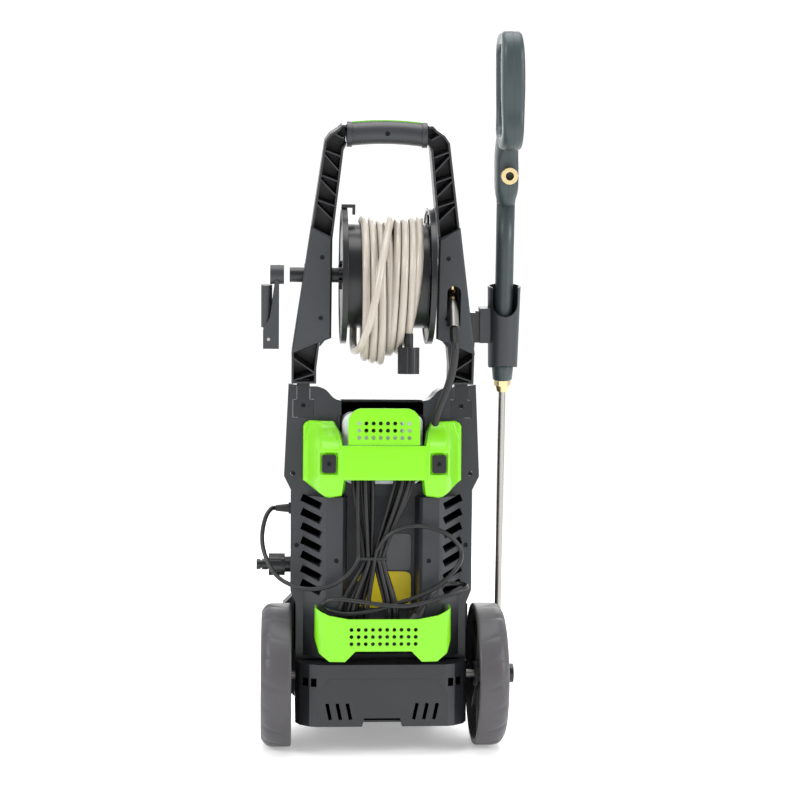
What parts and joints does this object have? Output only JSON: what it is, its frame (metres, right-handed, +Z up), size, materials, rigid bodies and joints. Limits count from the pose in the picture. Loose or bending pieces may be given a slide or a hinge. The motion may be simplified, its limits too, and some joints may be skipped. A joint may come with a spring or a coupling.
{
  "type": "pressure washer",
  "caption": "Upright electric pressure washer on two wheels, with a hose reel in its handle, a trigger gun with a steel lance in a holster, and a cord yoke and basket.",
  "frame": {"origin": "on the floor, under the middle of the box round the machine without its cord and hose", "axes": "+X to the right of the user who stands behind the handle, +Y away from the user, +Z up"},
  "size_m": [0.3878, 0.3604, 1.0375],
  "materials": {
    "dark_plastic": "fine grain",
    "base_plastic": "fine grain",
    "green_plastic": "satin",
    "black_plastic": "satin",
    "wheel_plastic": "fine grain",
    "gun_plastic": "fine grain",
    "white_plastic": "translucent satin",
    "red_plastic": "satin",
    "steel": "bright",
    "dark_steel": "satin",
    "brass": "turned",
    "chrome": "bright",
    "rubber": "matt",
    "hose": "braided",
    "copper_and_iron": "varnished",
    "aluminium": "cast"
  },
  "bodies": {
    "machine": {"rear_housing": "dark_plastic", "front_housing": "dark_plastic", "base_housing": "base_plastic", "front_cover": "green_plastic", "front_foot": "black_plastic", "foot_pads": "rubber", "cord_yoke": "green_plastic", "tank_guard": "green_plastic", "yoke_pads": "black_plastic", "cord_basket": "green_plastic", "handle_frame": "black_plastic", "grip_cover": "dark_plastic", "grip_trim": "green_plastic", "arm_cover_left": "dark_plastic", "arm_cover_right": "dark_plastic", "screws": "dark_steel", "axle_rod": "steel", "axle_caps": "black_plastic", "swivel_elbow": "brass", "hose_crimp": "chrome", "link_hose": "rubber", "gun_holster": "dark_plastic", "holster_bracket": "black_plastic", "inlet_body": "black_plastic", "cable_gland": "rubber", "motor_stator": "copper_and_iron", "pump_block": "aluminium", "piston_1": "steel", "piston_2": "steel", "piston_3": "steel", "switch_box": "black_plastic", "power_cord": "rubber", "cord_hank": "rubber", "plug": "rubber", "cord_tie": "black_plastic"},
    "wheel_left": {"wheel_left": "wheel_plastic"},
    "wheel_right": {"wheel_right": "wheel_plastic"},
    "reel": {"reel_flange_left": "black_plastic", "reel_flange_right": "black_plastic", "reel_drum": "black_plastic", "crank_arm": "dark_plastic", "crank_pin": "steel", "hose_coil": "hose", "hose_tail": "rubber"},
    "crank_grip": {"crank_grip": "dark_plastic"},
    "hose_nut": {"hose_nut": "black_plastic"},
    "gun": {"gun_shell_left": "gun_plastic", "gun_shell_right": "gun_plastic", "gun_inlet": "brass", "lance_tube": "steel"},
    "gun_trigger": {"gun_trigger": "black_plastic"},
    "trigger_lock": {"trigger_lock": "red_plastic"},
    "lance_nut": {"lance_nut": "brass"},
    "lance_nozzle": {"lance_nozzle": "black_plastic"},
    "tank": {"tank": "white_plastic"},
    "tank_cap": {"tank_cap": "black_plastic"},
    "switch_knob": {"switch_knob": "black_plastic"},
    "inlet_nut": {"inlet_nut": "black_plastic"},
    "rotor": {"rotor": "copper_and_iron", "swash_plate": "steel"}
  },
  "joints": [
    {"name": "wheel_left_spin", "type": "hinge", "parent": "machine", "child": "wheel_left", "pos_m": [-0.16391, -0.00984, 0.105], "axis": [1, 0, 0], "continuous": true},
    {"name": "wheel_right_spin", "type": "hinge", "parent": "machine", "child": "wheel_right", "pos_m": [0.15009, -0.00984, 0.105], "axis": [1, 0, 0], "continuous": true},
    {"name": "reel_spin", "type": "hinge", "parent": "machine", "child": "reel", "pos_m": [-0.00791, -0.05548, 0.69456], "axis": [1, 0, 0], "continuous": true},
    {"name": "crank_grip_fold", "type": "hinge", "parent": "reel", "child": "crank_grip", "pos_m": [-0.17732, -0.03614, 0.6036], "axis": [0, -0.9781, -0.2079], "range_deg": [0, 90]},
    {"name": "hose_nut_spin", "type": "hinge", "parent": "reel", "child": "hose_nut", "pos_m": [0.02209, -0.10199, 0.56516], "axis": [0, 0, 1], "continuous": true},
    {"name": "gun_lift", "type": "slide", "parent": "machine", "child": "gun", "axis": [-0.0175, -0.2079, 0.978], "range_m": [0, 0.6]},
    {"name": "trigger_pull", "type": "hinge", "parent": "gun", "child": "gun_trigger", "pos_m": [0.16362, -0.13955, 0.9959], "axis": [-0.9998, 0.0036, -0.0171], "range_deg": [0, 8], "stiffness_Nm_per_rad": 1.2, "springref_deg": -4.58},
    {"name": "trigger_lock_flip", "type": "hinge", "parent": "gun", "child": "trigger_lock", "pos_m": [0.16545, -0.09327, 0.8984], "axis": [0.9998, -0.0036, 0.0171], "range_deg": [0, 60]},
    {"name": "lance_nut_spin", "type": "hinge", "parent": "gun", "child": "lance_nut", "pos_m": [0.17206, 0.01486, 0.53398], "axis": [-0.0175, -0.2079, 0.978], "continuous": true},
    {"name": "nozzle_twist", "type": "hinge", "parent": "gun", "child": "lance_nozzle", "pos_m": [0.17962, 0.10488, 0.11051], "axis": [-0.0175, -0.2079, 0.978], "range_deg": [-45, 45]},
    {"name": "tank_lift", "type": "slide", "parent": "machine", "child": "tank", "axis": [0, 0, 1], "range_m": [0, 0.07]},
    {"name": "tank_cap_spin", "type": "hinge", "parent": "tank", "child": "tank_cap", "pos_m": [-0.01091, -0.02285, 0.4823], "axis": [0, 0, 1], "continuous": true},
    {"name": "switch_turn", "type": "hinge", "parent": "machine", "child": "switch_knob", "pos_m": [-0.01091, 0.15815, 0.292], "axis": [0, 1, 0], "range_deg": [0, 90]},
    {"name": "inlet_nut_spin", "type": "hinge", "parent": "machine", "child": "inlet_nut", "pos_m": [-0.16391, -0.00185, 0.268], "axis": [1, 0, 0], "continuous": true},
    {"name": "rotor_spin", "type": "hinge", "parent": "machine", "child": "rotor", "pos_m": [-0.01091, 0.06016, 0.3], "axis": [0, 0, 1], "continuous": true}
  ]
}
